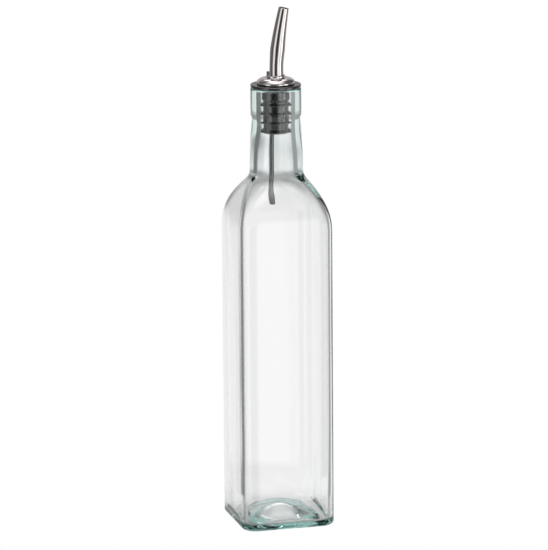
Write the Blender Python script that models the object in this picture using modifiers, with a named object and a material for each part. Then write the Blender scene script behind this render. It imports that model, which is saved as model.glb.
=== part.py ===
"""Square glass oil bottle with a steel pourer in its neck.

Metres, +Z up. The bottle stands on z = 0 with its axis on the Z axis and its flat
sides facing X and Y. The pourer's own X axis is the way that the spout leans.
"""

import math

import bmesh
import bpy

# Glass body
BODY_SIDE = 0.0570
BODY_CORNER = 0.0081
WALL = 0.0026
INNER_CORNER = 0.0058
ARC_STEPS = 9

# Foot and punt
FOOT_ROUND = 0.0024
FOOT_RING = 0.0045
RECESS_RISE = 0.0068
FLOOR_HEEL_Z = 0.0030
FLOOR_ROUND = 0.0038
HEEL_CORNER = 0.0074
HEEL_CORNER_TOP_Z = 0.0340
PUNT_TOP_Z = 0.0112
PUNT_R = 0.0210
RECESS_SHARES = (0.3, 0.55, 0.8)
PUNT_SHARES = (0.8, 0.6, 0.35)
EDGE_STEPS = 3

# Shoulder: each side leans in along an ellipse's arc until it meets the neck
SHOULDER_Z = 0.1802
NECK_Z = 0.2103
SHOULDER_ARC_UP = 0.0492
CORNER_GROWTH = 2.57
SHOULDER_STEPS = 8

# Neck, collar and mouth
NECK_FOOT_R = 0.0158
NECK_TOP_R = 0.0142
NECK_FLARE = 2.6
NECK_STEPS = 4
COLLAR_R = 0.0151
COLLAR_Z = 0.2470
CHAMFER = 0.0022
RIM_Z = 0.2628
RIM_ROUND = 0.0010
BORE_R = 0.0094
BORE_LOW_R = 0.0112
BORE_WIDENS_Z = 0.2360
BORE_STEPS = 3

# Clearance between pieces that touch
GAP = 0.0003

# Stopper
STOPPER_STEPS = 40
FLANGE_R = 0.0150
FLANGE_TOP_Z = 0.2650
PLUG_HEAD_R = 0.0082
PLUG_HEAD_Z = 0.2560
PLUG_R = 0.0075
PLUG_FOOT_Z = 0.2360
FIN_COUNT = 4
FIN_FIRST_Z = 0.2378
FIN_PITCH = 0.0054
FIN_ROOT = 0.0014
FIN_TIP = 0.0005
FIN_LIFT = 0.0006
RUBBER_EDGE = 0.0004

# Cap and its boss
CAP_R = 0.01135
CAP_EDGE = 0.0007
CAP_RISE = 0.0029
BOSS_R = 0.0057
BOSS_RISE = 0.0014
BOSS_EDGE = 0.0004
BOSS_SEAT_RISE = 0.0002
CAP_DOME_STEPS = 6
CAP_STEPS = 40

# Spout
POUR_TURN = math.radians(-15.0)
SPOUT_WALL = 0.0005
SPOUT_FOOT_X = 0.0005
SPOUT_FOOT_Z = 0.2637
SPOUT_BEND_Z = 0.2750
SPOUT_TIP_Z = 0.3103
SPOUT_LEAN = 0.0046
SPOUT_BEND_POWER = 1.48
SPOUT_FOOT_R = 0.00430
SPOUT_WAIST_R = 0.00415
SPOUT_WAIST_Z = 0.2765
SPOUT_BELLY_R = 0.00445
SPOUT_BELLY_Z = 0.2860
SPOUT_TIP_R = 0.00305
SPOUT_POINTS = 15
SPOUT_BEVEL_STEPS = 8
CHANNEL_R = 0.0030
CHANNEL_X = 0.0008
CHANNEL_Y = -0.0008

# Air tube
TUBE_R = 0.00145
TUBE_WALL = 0.0004
TUBE_FOOT_Z = 0.1922
TUBE_TOP_Z = 0.2716
TUBE_LOW_X, TUBE_LOW_Y = -0.0026, 0.0042
TUBE_HIGH_X, TUBE_HIGH_Y = -0.0039, 0.0043
TUBE_BEND_FROM_Z, TUBE_BEND_TO_Z = 0.2500, 0.2620
TUBE_BEND_POINTS = 7
TUBE_BEVEL_STEPS = 4

# How far a cutter reaches past what it cuts, and how close points are when they are welded
PAST = 0.002
ROD_SEGMENTS = 24
WELD = 1e-6
TURNED_WELD = 1e-5


def clear_scene():
    """Remove every object that the startup file holds."""
    for obj in list(bpy.data.objects):
        bpy.data.objects.remove(obj, do_unlink=True)


def new_collection(name):
    """Make a collection in the scene."""
    made = bpy.data.collections.new(name)
    bpy.context.scene.collection.children.link(made)
    return made


def material(name, colour, roughness, metallic=0.0, transmission=0.0):
    """Make a Principled material in one colour."""
    made = bpy.data.materials.new(name)
    made.use_nodes = True
    shader = made.node_tree.nodes["Principled BSDF"]
    shader.inputs["Base Color"].default_value = (*colour, 1.0)
    shader.inputs["Roughness"].default_value = roughness
    shader.inputs["Metallic"].default_value = metallic
    shader.inputs["Transmission Weight"].default_value = transmission
    return made


def add_object(name, data, collection, finish=None, parent=None):
    """Put new data in the scene as an object."""
    obj = bpy.data.objects.new(name, data)
    collection.objects.link(obj)
    obj.parent = parent
    if finish:
        data.materials.append(finish)
    return obj


def shade_round(mesh, sharp_degrees=35):
    """Shade a mesh smooth, apart from its sharp edges."""
    mesh.shade_smooth()
    mesh.set_sharp_from_angle(angle=math.radians(sharp_degrees))


def helper(obj):
    """Mark an object as a cutter, which isn't part of the model."""
    obj.hide_render = True
    obj.display_type = "WIRE"
    return obj


def rounded_square(half, corner, z):
    """Points of a square of this half side with this corner radius, at height z."""
    corner = min(corner, half)
    middle = half - corner
    points = []
    for quarter in range(4):
        start = quarter * math.pi / 2
        along_x = middle * (1 if quarter in (0, 3) else -1)
        along_y = middle * (1 if quarter in (0, 1) else -1)
        for step in range(ARC_STEPS + 1):
            angle = start + step / ARC_STEPS * math.pi / 2
            x = along_x + corner * math.cos(angle)
            y = along_y + corner * math.sin(angle)
            points.append((x, y, z))
    return points


def circle(radius, z):
    """Points of a circle, matched one to one with a rounded square's."""
    return rounded_square(radius, radius, z)


def inner_section(half, share, z):
    """A section within a square of this half side, rounder towards the middle."""
    side = share * half
    return rounded_square(side, side * (1 - share / 2), z)


def shoulder_rings(half, corner, neck_r):
    """Sections of the shoulder, from the top of the straight sides to the neck."""
    height = NECK_Z - SHOULDER_Z
    drop_at_neck = 1 - math.sqrt(1 - (height / SHOULDER_ARC_UP) ** 2)
    arc_in = (half - neck_r) / drop_at_neck
    rings = []
    for step in range(SHOULDER_STEPS):
        share = step / SHOULDER_STEPS
        up = share * height
        side = half - arc_in * (1 - math.sqrt(1 - (up / SHOULDER_ARC_UP) ** 2))
        radius = corner + (side - corner) * share**CORNER_GROWTH
        rings.append(rounded_square(side, radius, SHOULDER_Z + up))
    return rings


def neck_rings(foot_r, top_r, top_z):
    """Sections of the neck, narrowing faster towards the top."""
    rings = []
    for step in range(NECK_STEPS + 1):
        share = step / NECK_STEPS
        radius = foot_r - (foot_r - top_r) * share**NECK_FLARE
        rings.append(circle(radius, NECK_Z + share * (top_z - NECK_Z)))
    return rings


def foot_rings():
    """Sections of the foot: the recess under the base, its flat ring and its edge."""
    half = BODY_SIDE / 2
    flat_out = half - FOOT_ROUND
    flat_in = flat_out - FOOT_RING
    rings = []
    for share in RECESS_SHARES:
        rise = RECESS_RISE * math.cos(share * math.pi / 2) ** 2
        rings.append(inner_section(flat_in, share, rise))
    rings.append(rounded_square(flat_in, BODY_CORNER, 0.0))
    for step in range(EDGE_STEPS + 1):
        angle = step / EDGE_STEPS * math.pi / 2
        side = flat_out + FOOT_ROUND * math.sin(angle)
        corner = BODY_CORNER - half + side
        rings.append(rounded_square(side, corner, FOOT_ROUND * (1 - math.cos(angle))))
    return rings


def mouth_rings():
    """Sections of the collar and the rim, from the neck round into the bore."""
    half_way = RIM_ROUND * (1 - math.cos(math.pi / 4))
    return [
        circle(COLLAR_R, COLLAR_Z),
        circle(COLLAR_R, RIM_Z - RIM_ROUND),
        circle(COLLAR_R - half_way, RIM_Z - half_way),
        circle(COLLAR_R - RIM_ROUND, RIM_Z),
        circle(BORE_R + RIM_ROUND, RIM_Z),
        circle(BORE_R + half_way, RIM_Z - half_way),
        circle(BORE_R, RIM_Z - RIM_ROUND),
    ]


def punt_z(out):
    """The floor's height over the punt, a cap of a ball, at a distance from the axis."""
    rise = PUNT_TOP_Z - FLOOR_HEEL_Z
    ball_r = (PUNT_R**2 + rise**2) / (2 * rise)
    return PUNT_TOP_Z - ball_r + math.sqrt(ball_r**2 - out**2)


def bore_rings():
    """Sections of the bore below the plug, widening down to the shoulder."""
    rings = []
    for step in range(BORE_STEPS + 1):
        share = step / BORE_STEPS
        radius = BORE_R + (BORE_LOW_R - BORE_R) * math.sin(share * math.pi / 2)
        rings.append(circle(radius, BORE_WIDENS_Z - share * (BORE_WIDENS_Z - NECK_Z)))
    return rings


def floor_rings():
    """Sections of the floor inside, from the wall down and up over the punt."""
    half = BODY_SIDE / 2 - WALL
    rings = [rounded_square(half, INNER_CORNER, HEEL_CORNER_TOP_Z)]
    for step in range(EDGE_STEPS + 1):
        angle = step / EDGE_STEPS * math.pi / 2
        side = half - FLOOR_ROUND * (1 - math.cos(angle))
        z = FLOOR_HEEL_Z + FLOOR_ROUND * (1 - math.sin(angle))
        rings.append(rounded_square(side, HEEL_CORNER, z))
    rings.append(inner_section(PUNT_R, 1, FLOOR_HEEL_Z))
    for share in PUNT_SHARES:
        rings.append(inner_section(PUNT_R, share, punt_z(share * PUNT_R)))
    return rings


def loft(name, rings, first_centre, last_centre):
    """Skin a run of matched sections into one closed mesh with a point at each end."""
    shell = bmesh.new()
    loops = [[shell.verts.new(point) for point in ring] for ring in rings]
    ends = (shell.verts.new(first_centre), shell.verts.new(last_centre))
    count = len(loops[0])
    for low, high in zip(loops, loops[1:]):
        for n in range(count):
            m = (n + 1) % count
            shell.faces.new((low[n], low[m], high[m], high[n]))
    for centre, loop in zip(ends, (loops[0], loops[-1])):
        for n in range(count):
            shell.faces.new((centre, loop[n], loop[(n + 1) % count]))
    bmesh.ops.remove_doubles(shell, verts=shell.verts, dist=WELD)
    bmesh.ops.recalc_face_normals(shell, faces=shell.faces)
    mesh = bpy.data.meshes.new(name)
    shell.to_mesh(mesh)
    shell.free()
    return mesh


def make_bottle(collection, glass):
    """The bottle: one hollow piece of glass, from under its base round to its floor."""
    half = BODY_SIDE / 2
    outer = foot_rings()
    outer += shoulder_rings(half, BODY_CORNER, NECK_FOOT_R)
    outer += neck_rings(NECK_FOOT_R, NECK_TOP_R, COLLAR_Z - CHAMFER)
    inner = bore_rings()
    inner += reversed(shoulder_rings(half - WALL, INNER_CORNER, BORE_LOW_R))
    rings = outer + mouth_rings() + inner + floor_rings()
    mesh = loft("bottle", rings, (0, 0, RECESS_RISE), (0, 0, PUNT_TOP_Z))
    shade_round(mesh)
    return add_object("bottle", mesh, collection, glass)


def turned(name, profile, steps, collection, finish, parent):
    """A turned piece: a profile in X and Z, top to bottom on its outer side."""
    mesh = bpy.data.meshes.new(name)
    edges = [(n, n + 1) for n in range(len(profile) - 1)]
    mesh.from_pydata([(x, 0, z) for x, z in profile], edges, [])
    obj = add_object(name, mesh, collection, finish, parent)
    screw = obj.modifiers.new("turn", "SCREW")
    screw.steps = steps
    screw.render_steps = steps
    screw.use_merge_vertices = True
    screw.merge_threshold = TURNED_WELD
    screw.use_smooth_shade = True
    return obj


def fin_profile(z):
    """One sealing fin: a thin wedge that lifts a little towards the wall."""
    tip = BORE_R - GAP
    return [
        (PLUG_R, z + FIN_ROOT / 2),
        (tip, z + FIN_LIFT + FIN_TIP / 2),
        (tip, z + FIN_LIFT - FIN_TIP / 2),
        (PLUG_R, z - FIN_ROOT / 2),
    ]


def make_stopper(collection, rubber, parent, cutters):
    """The rubber stopper: a flange over the rim and a finned plug in the bore."""
    under = RIM_Z + GAP
    edge = RUBBER_EDGE
    profile = [
        (0, FLANGE_TOP_Z),
        (FLANGE_R - edge, FLANGE_TOP_Z),
        (FLANGE_R, FLANGE_TOP_Z - edge),
        (FLANGE_R, under + edge),
        (FLANGE_R - edge, under),
        (PLUG_HEAD_R, under),
        (PLUG_HEAD_R, PLUG_HEAD_Z + edge),
        (PLUG_R, PLUG_HEAD_Z - edge),
    ]
    for n in reversed(range(FIN_COUNT)):
        profile += fin_profile(FIN_FIRST_Z + n * FIN_PITCH)
    profile += [
        (PLUG_R, PLUG_FOOT_Z + edge),
        (PLUG_R - edge, PLUG_FOOT_Z),
        (0, PLUG_FOOT_Z),
    ]
    stopper = turned("stopper", profile, STOPPER_STEPS, collection, rubber, parent)
    for cutter in cutters:
        cut(stopper, cutter)
    return stopper


def make_cap(collection, steel, parent, cutters):
    """The steel cap: a shallow dome with a raised boss that grips the spout."""
    foot = FLANGE_TOP_Z + GAP
    shoulder = foot + CAP_EDGE
    dome_top = shoulder + CAP_RISE
    boss_top = dome_top + BOSS_RISE
    dome_in = BOSS_R + BOSS_EDGE
    profile = [
        (0, boss_top),
        (BOSS_R - BOSS_EDGE, boss_top),
        (BOSS_R, boss_top - BOSS_EDGE),
        (BOSS_R, dome_top + BOSS_SEAT_RISE),
    ]
    for n in range(CAP_DOME_STEPS + 1):
        angle = n / CAP_DOME_STEPS * math.pi / 2
        x = dome_in + (CAP_R - dome_in) * math.sin(angle)
        profile.append((x, shoulder + CAP_RISE * math.cos(angle)))
    profile += [(CAP_R, foot), (0, foot)]
    cap = turned("cap", profile, CAP_STEPS, collection, steel, parent)
    for cutter in cutters:
        cut(cap, cutter)
    return cap


def cut(obj, cutter):
    """Take a cutter out of a piece."""
    boolean = obj.modifiers.new(cutter.name, "BOOLEAN")
    boolean.operation = "DIFFERENCE"
    boolean.solver = "EXACT"
    boolean.object = cutter


def path_curve(name, points, radii, collection, bevel_steps, parent):
    """A round bar along a path, with a radius at each point."""
    data = bpy.data.curves.new(name, "CURVE")
    data.dimensions = "3D"
    spline = data.splines.new("POLY")
    spline.points.add(len(points) - 1)
    for target, point, radius in zip(spline.points, points, radii):
        target.co = (*point, 1.0)
        target.radius = radius
    data.bevel_depth = 1.0
    data.bevel_resolution = bevel_steps
    return add_object(name, data, collection, None, parent)


def closed_copy(curve, name, collection, parent):
    """A filled path curve as a mesh with its end caps welded. Removes the curve."""
    curve.data.use_fill_caps = True
    bpy.context.view_layer.update()
    graph = bpy.context.evaluated_depsgraph_get()
    mesh = bpy.data.meshes.new_from_object(curve.evaluated_get(graph))
    bpy.data.objects.remove(curve)
    welded = bmesh.new()
    welded.from_mesh(mesh)
    bmesh.ops.remove_doubles(welded, verts=welded.verts, dist=WELD)
    bmesh.ops.recalc_face_normals(welded, faces=welded.faces)
    welded.to_mesh(mesh)
    welded.free()
    return add_object(name, mesh, collection, None, parent)


def thicken(obj, wall):
    """Give an open tube a wall, measured inwards."""
    solidify = obj.modifiers.new("wall", "SOLIDIFY")
    solidify.thickness = wall
    solidify.offset = -1.0
    solidify.use_even_offset = True


def spout_centre(z):
    """The spout's centre at a height: straight at the foot, then leaning over."""
    along = max(z - SPOUT_BEND_Z, 0) / (SPOUT_TIP_Z - SPOUT_BEND_Z)
    return (SPOUT_FOOT_X + SPOUT_LEAN * along**SPOUT_BEND_POWER, 0.0, z)


def spout_radius(z):
    """The spout's outer radius: a slight waist at the foot, a belly, and a taper."""
    stops = [
        (SPOUT_FOOT_Z, SPOUT_FOOT_R),
        (SPOUT_WAIST_Z, SPOUT_WAIST_R),
        (SPOUT_BELLY_Z, SPOUT_BELLY_R),
        (SPOUT_TIP_Z, SPOUT_TIP_R),
    ]
    for (low, low_r), (high, high_r) in zip(stops, stops[1:]):
        if z <= high + WELD:
            share = (z - low) / (high - low)
            ease = share if high == SPOUT_TIP_Z else share * share * (3 - 2 * share)
            return low_r + (high_r - low_r) * ease
    return SPOUT_TIP_R


def make_spout(collection, steel, parent):
    """The spout: a tapered steel tube, open at both ends, that leans over."""
    step = (SPOUT_TIP_Z - SPOUT_FOOT_Z) / (SPOUT_POINTS - 1)
    heights = [SPOUT_FOOT_Z + n * step for n in range(SPOUT_POINTS)]
    points = [spout_centre(z) for z in heights]
    radii = [spout_radius(z) for z in heights]
    spout = path_curve("spout", points, radii, collection, SPOUT_BEVEL_STEPS, parent)
    spout.data.materials.append(steel)
    thicken(spout, SPOUT_WALL)
    return spout


def tube_path():
    """Points of the air tube: straight, a slight shift inside the stopper, straight."""
    points = [(TUBE_LOW_X, TUBE_LOW_Y, TUBE_FOOT_Z)]
    for n in range(TUBE_BEND_POINTS):
        share = n / (TUBE_BEND_POINTS - 1)
        ease = share * share * (3 - 2 * share)
        x = TUBE_LOW_X + (TUBE_HIGH_X - TUBE_LOW_X) * ease
        y = TUBE_LOW_Y + (TUBE_HIGH_Y - TUBE_LOW_Y) * ease
        z = TUBE_BEND_FROM_Z + (TUBE_BEND_TO_Z - TUBE_BEND_FROM_Z) * share
        points.append((x, y, z))
    points.append((TUBE_HIGH_X, TUBE_HIGH_Y, TUBE_TOP_Z))
    return points


def make_air_tube(collection, steel, parent):
    """The air tube: from beside the spout down through the stopper into the bottle."""
    points = tube_path()
    radii = [TUBE_R] * len(points)
    tube = path_curve("air_tube", points, radii, collection, TUBE_BEVEL_STEPS, parent)
    tube.data.materials.append(steel)
    thicken(tube, TUBE_WALL)
    return tube


def tube_cutter(collection, parent):
    """The hole that the air tube passes through."""
    points = tube_path()
    points[0] = (TUBE_LOW_X, TUBE_LOW_Y, PLUG_FOOT_Z - PAST)
    points[-1] = (TUBE_HIGH_X, TUBE_HIGH_Y, TUBE_TOP_Z + PAST)
    radii = [TUBE_R + GAP] * len(points)
    path = path_curve("hole_path", points, radii, collection, TUBE_BEVEL_STEPS, parent)
    return helper(closed_copy(path, "tube_hole", collection, parent))


def rod_cutter(name, x, y, radius, low, high, collection, parent):
    """An upright round cutter."""
    rod = bmesh.new()
    bmesh.ops.create_cone(
        rod,
        cap_ends=True,
        segments=ROD_SEGMENTS,
        radius1=radius,
        radius2=radius,
        depth=high - low,
    )
    bmesh.ops.translate(rod, verts=rod.verts, vec=(x, y, (low + high) / 2))
    mesh = bpy.data.meshes.new(name)
    rod.to_mesh(mesh)
    rod.free()
    return helper(add_object(name, mesh, collection, None, parent))


def main():
    """Build the bottle and its pourer."""
    clear_scene()
    parts = new_collection("oil_pourer_bottle")
    tools = new_collection("cutters")
    glass = material("clear_glass", (0.86, 0.95, 0.93), 0.03, transmission=1.0)
    rubber = material("black_rubber", (0.015, 0.016, 0.018), 0.30)
    steel = material("polished_steel", (0.74, 0.73, 0.71), 0.18, metallic=1.0)

    make_bottle(parts, glass)

    pourer = add_object("pourer_axis", None, parts)
    pourer.rotation_euler.z = POUR_TURN

    tube_hole = tube_cutter(tools, pourer)
    socket_r = SPOUT_FOOT_R + GAP
    socket_foot = SPOUT_FOOT_Z - GAP
    cap_top = FLANGE_TOP_Z + GAP + CAP_EDGE + CAP_RISE + BOSS_RISE
    socket = rod_cutter(
        "socket", SPOUT_FOOT_X, 0, socket_r, socket_foot, cap_top + PAST, tools, pourer
    )
    channel = rod_cutter(
        "channel",
        CHANNEL_X,
        CHANNEL_Y,
        CHANNEL_R,
        PLUG_FOOT_Z - PAST,
        socket_foot + PAST,
        tools,
        pourer,
    )
    make_stopper(parts, rubber, pourer, (socket, channel, tube_hole))
    make_cap(parts, steel, pourer, (socket, tube_hole))
    make_spout(parts, steel, pourer)
    make_air_tube(parts, steel, pourer)


main()
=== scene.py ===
"""Looks of a square glass oil bottle with a steel pourer in its neck.

Metres, +Z up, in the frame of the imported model: the bottle stands on z = 0 with its axis on
the Z axis, and the pourer's own X axis is the way that the spout leans.
"""

import logging
import math
from abc import ABC, abstractmethod
from collections.abc import Iterable, Sequence
from dataclasses import dataclass
from enum import Enum
from typing import ClassVar

import bmesh
import bpy
import numpy as np
from mathutils import Matrix, Vector, noise


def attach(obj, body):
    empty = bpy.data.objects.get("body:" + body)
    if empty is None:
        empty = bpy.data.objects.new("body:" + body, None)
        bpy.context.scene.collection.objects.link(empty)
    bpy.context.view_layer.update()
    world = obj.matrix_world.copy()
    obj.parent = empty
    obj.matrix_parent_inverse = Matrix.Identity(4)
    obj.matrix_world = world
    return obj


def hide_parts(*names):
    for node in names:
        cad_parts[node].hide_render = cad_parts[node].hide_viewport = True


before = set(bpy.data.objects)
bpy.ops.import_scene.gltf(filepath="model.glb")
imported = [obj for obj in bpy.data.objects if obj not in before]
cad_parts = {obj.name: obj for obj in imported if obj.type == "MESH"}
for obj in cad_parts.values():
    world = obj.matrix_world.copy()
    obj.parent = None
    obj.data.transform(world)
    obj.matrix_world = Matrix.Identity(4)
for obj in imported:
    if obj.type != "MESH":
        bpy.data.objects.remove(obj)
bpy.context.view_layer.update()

LOG = logging.getLogger("oil_pourer_bottle")
BODY = "root"
MM = 0.001
WELD = 1e-7
WHITE = (1.0, 1.0, 1.0, 1.0)
SHARP_DEGREES = 60
TURNED_SHARP_DEGREES = 50
ROD_SIDES = 64
ROUNDED_SHARE = 0.45
BLUR_REACH = 4

Pair = tuple[float, float]
Point = tuple[float, float, float]
Colour = Point
Profile = list[Pair]
Material = bpy.types.Material
Mesh = bpy.types.Mesh
Object = bpy.types.Object
Socket = bpy.types.NodeSocket


class Slot(Enum):
    """The record's material slots."""

    GLASS = "clear_glass"
    RUBBER = "black_rubber"
    STEEL = "polished_steel"


class Graph:
    """A node tree that is filled by short calls."""

    def __init__(self, tree: bpy.types.NodeTree) -> None:
        """Take over a tree and empty it."""
        self.tree = tree
        self.tree.nodes.clear()

    def add(self, kind: str, inputs: dict | None = None, **settings: object) -> bpy.types.Node:
        """Add a node.

        Args:
            kind: The node's type name.
            inputs: Values or output sockets for its inputs, by name or number.
            **settings: The node's own properties.

        Returns:
            The new node.
        """
        node = self.tree.nodes.new(kind)
        for name, value in settings.items():
            setattr(node, name, value)
        for key, value in (inputs or {}).items():
            if isinstance(value, Socket):
                self.tree.links.new(value, node.inputs[key])
            else:
                node.inputs[key].default_value = value
        return node

    def math(self, operation: str, *values: object) -> Socket:
        """Add a Math node with these inputs, in order, and give its output."""
        return self.add("ShaderNodeMath", dict(enumerate(values)), operation=operation).outputs[0]

    def vector(self, operation: str, inputs: dict) -> bpy.types.Node:
        """Add a Vector Math node."""
        return self.add("ShaderNodeVectorMath", inputs, operation=operation)

    def mix(self, factor: Socket, a: object, b: object, kind: str = "RGBA") -> Socket:
        """Mix two colours, or two values of another kind."""
        values = {"Factor": factor, "A": a, "B": b}
        return self.add("ShaderNodeMix", values, data_type=kind).outputs["Result"]

    def noise(self, place: Socket, size: float, detail: float, rough: float = 0.5) -> Socket:
        """Noise with features of a size, and so many finer layers of a strength."""
        values = {"Vector": place, "Scale": 1 / size, "Detail": detail, "Roughness": rough}
        return self.add("ShaderNodeTexNoise", values).outputs[0]

    def bump(self, strength: float, depth: float, height: Socket) -> Socket:
        """Turn a height into a bumped normal."""
        values = {"Strength": strength, "Distance": depth, "Height": height}
        return self.add("ShaderNodeBump", values).outputs[0]

    def fade(self, value: Socket, start: float, end: float, *levels: float) -> Socket:
        """Go smoothly from one level to another.

        Args:
            value: What drives it.
            start: Where the change starts.
            end: Where it ends.
            *levels: The levels at its start and end, 0 and 1 where they are left out.

        Returns:
            The level.
        """
        span = {"Value": value, "From Min": start, "From Max": end}
        span |= dict(zip(("To Min", "To Max"), levels))
        return self.add("ShaderNodeMapRange", span, interpolation_type="SMOOTHSTEP").outputs[0]

    def ramp(self, factor: Socket, stops: Iterable[Pair]) -> Socket:
        """Add a ramp of grey levels.

        Args:
            factor: The socket that drives it.
            stops: Places from 0 to 1, each with its level.

        Returns:
            The level, as a colour socket.
        """
        node = self.add("ShaderNodeValToRGB", {0: factor})
        marks = node.color_ramp.elements
        while len(marks) > 1:
            marks.remove(marks[-1])
        for n, (place, level) in enumerate(stops):
            mark = marks[0] if n == 0 else marks.new(place)
            mark.position = place
            mark.color = (level, level, level, 1.0)
        return node.outputs["Color"]

    def white_to_camera(self, tint: Point, level: object) -> Socket:
        """A glow that is plain white to the camera, and a tinted level to all else.

        Args:
            tint: Its tint.
            level: Its level, as a value or a socket.

        Returns:
            Its colour.
        """
        lit = self.vector("SCALE", {0: tint, "Scale": level})
        seen = self.add("ShaderNodeLightPath").outputs["Is Camera Ray"]
        return self.mix(seen, lit.outputs[0], WHITE)

    def start_group(self, inputs: dict[str, str]) -> bpy.types.NodeOutputs:
        """Give a geometry group its sockets: geometry in and out, and these inputs.

        Args:
            inputs: The inputs' kinds, by name.

        Returns:
            What the group is given.
        """
        face = self.tree.interface
        for name, kind in {"Geometry": "Geometry", **inputs}.items():
            face.new_socket(name, in_out="INPUT", socket_type=f"NodeSocket{kind}")
        face.new_socket("Geometry", in_out="OUTPUT", socket_type="NodeSocketGeometry")
        return self.add("NodeGroupInput").outputs

    def end_group(self, geometry: Socket, finish: Socket) -> None:
        """Realise the group's instances, set their material and give them out.

        Args:
            geometry: The instances.
            finish: Their material.
        """
        real = self.add("GeometryNodeRealizeInstances", {"Geometry": geometry})
        values = {"Geometry": real.outputs[0], "Material": finish}
        dressed = self.add("GeometryNodeSetMaterial", values)
        self.add("NodeGroupOutput", {"Geometry": dressed.outputs[0]})


def new_material(name: str) -> tuple[Material, Graph, Socket]:
    """Start a material.

    Args:
        name: Its name.

    Returns:
        The material, its emptied nodes, and the place on the object.
    """
    made = bpy.data.materials.new(name)
    made.use_nodes = True
    graph = Graph(made.node_tree)
    return made, graph, graph.add("ShaderNodeTexCoord").outputs["Object"]


@dataclass(frozen=True)
class GlassFinish:
    """Clear soda-lime glass whose thick places look blue-green."""

    name: str = "clear_glass"
    ior: float = 1.51
    keeps: Colour = (0.10, 0.74, 0.66)
    density: float = 16.0
    ripple: float = 0.02
    ripple_size: float = 9 * MM
    ripple_stretch: float = 0.25
    smear: tuple[Pair, ...] = ((0.45, 0.0), (0.85, 0.015))

    def build(self) -> Material:
        """Make the material.

        Returns:
            The glass, with its tint as absorption in its volume.
        """
        made, graph, place = new_material(self.name)
        stretch = {"Vector": place, "Scale": (1.0, 1.0, self.ripple_stretch)}
        wave = graph.noise(
            graph.add("ShaderNodeMapping", stretch).outputs[0], self.ripple_size, 1.0
        )
        shader = graph.add(
            "ShaderNodeBsdfPrincipled",
            {
                "Base Color": WHITE,
                "Roughness": graph.ramp(wave, self.smear),
                "IOR": self.ior,
                "Transmission Weight": 1.0,
                "Normal": graph.bump(self.ripple, MM, wave),
            },
        )
        absorbed = {"Color": (*self.keeps, 1.0), "Density": self.density}
        tint = graph.add("ShaderNodeVolumeAbsorption", absorbed)
        ends = {"Surface": shader.outputs[0], "Volume": tint.outputs[0]}
        graph.add("ShaderNodeOutputMaterial", ends)
        return made


@dataclass(frozen=True)
class SteelFinish:
    """Stainless steel with a very fine drawn grain."""

    name: str = "polished_steel"
    colour: Colour = (0.80, 0.79, 0.775)
    smudged: float = 0.86
    smooth: float = 0.07
    dull: float = 0.16
    dulls_over: Pair = (0.12, 0.45)
    grain_size: float = 0.12 * MM
    grain_stretch: float = 0.04
    grain_height: float = 0.02
    grain_depth: float = 0.1 * MM
    smudge_size: float = 4 * MM

    def build(self) -> Material:
        """Make the material.

        Returns:
            The steel, with grain along Z and faint smudges.
        """
        made, graph, place = new_material(self.name)
        drawn = {"Vector": place, "Scale": (1.0, 1.0, self.grain_stretch)}
        grain = graph.noise(graph.add("ShaderNodeMapping", drawn).outputs[0], self.grain_size, 2.0)
        smudge = graph.noise(place, self.smudge_size, 4.0, 0.6)
        both = graph.math("MULTIPLY", grain, smudge)
        dark = tuple(c * self.smudged for c in self.colour)
        shader = graph.add(
            "ShaderNodeBsdfPrincipled",
            {
                "Base Color": graph.mix(smudge, (*dark, 1.0), (*self.colour, 1.0)),
                "Metallic": 1.0,
                "Roughness": graph.ramp(both, zip(self.dulls_over, (self.smooth, self.dull))),
                "Normal": graph.bump(self.grain_height, self.grain_depth, grain),
            },
        )
        graph.add("ShaderNodeOutputMaterial", {"Surface": shader.outputs[0]})
        return made


@dataclass(frozen=True)
class RubberFinish:
    """Black moulded rubber, slightly glossy, with a fine mould texture."""

    name: str = "black_rubber"
    colour: Colour = (0.012, 0.013, 0.016)
    worn: Colour = (0.030, 0.032, 0.036)
    smooth: float = 0.11
    dull: float = 0.20
    dulls_over: Pair = (0.3, 0.7)
    ior: float = 1.9
    skin_size: float = 0.5 * MM
    skin_height: float = 0.05
    skin_depth: float = 0.1 * MM
    patch_size: float = 5 * MM

    def build(self) -> Material:
        """Make the material.

        Returns:
            The rubber.
        """
        made, graph, place = new_material(self.name)
        skin = graph.noise(place, self.skin_size, 3.0)
        patch = graph.noise(place, self.patch_size, 5.0, 0.65)
        shader = graph.add(
            "ShaderNodeBsdfPrincipled",
            {
                "Base Color": graph.mix(patch, (*self.colour, 1.0), (*self.worn, 1.0)),
                "Roughness": graph.ramp(patch, zip(self.dulls_over, (self.smooth, self.dull))),
                "IOR": self.ior,
                "Normal": graph.bump(self.skin_height, self.skin_depth, skin),
            },
        )
        graph.add("ShaderNodeOutputMaterial", {"Surface": shader.outputs[0]})
        return made


def add_object(name: str, data: bpy.types.ID, finish: Material | None = None) -> Object:
    """Put a mesh, curve or camera in the scene at the origin.

    Args:
        name: The object's name.
        data: What it shows.
        finish: Its material, or None where it has none yet.

    Returns:
        The object.
    """
    obj = bpy.data.objects.new(name, data)
    bpy.context.scene.collection.objects.link(obj)
    if finish:
        data.materials.append(finish)
    return obj


def filled_mesh(name: str, shape: bmesh.types.BMesh) -> Mesh:
    """Turn a shape into a mesh, and free the shape.

    Args:
        name: The mesh's name.
        shape: The shape.

    Returns:
        The mesh.
    """
    mesh = bpy.data.meshes.new(name)
    shape.to_mesh(mesh)
    shape.free()
    return mesh


def mend(mesh: Mesh, weld: bool = True) -> None:
    """Weld a mesh's doubled points and turn its faces one way.

    Args:
        mesh: The mesh.
        weld: Whether its points are welded.
    """
    shell = bmesh.new()
    shell.from_mesh(mesh)
    if weld:
        bmesh.ops.remove_doubles(shell, verts=shell.verts, dist=WELD)
    bmesh.ops.recalc_face_normals(shell, faces=shell.faces)
    shell.to_mesh(mesh)
    shell.free()


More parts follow.
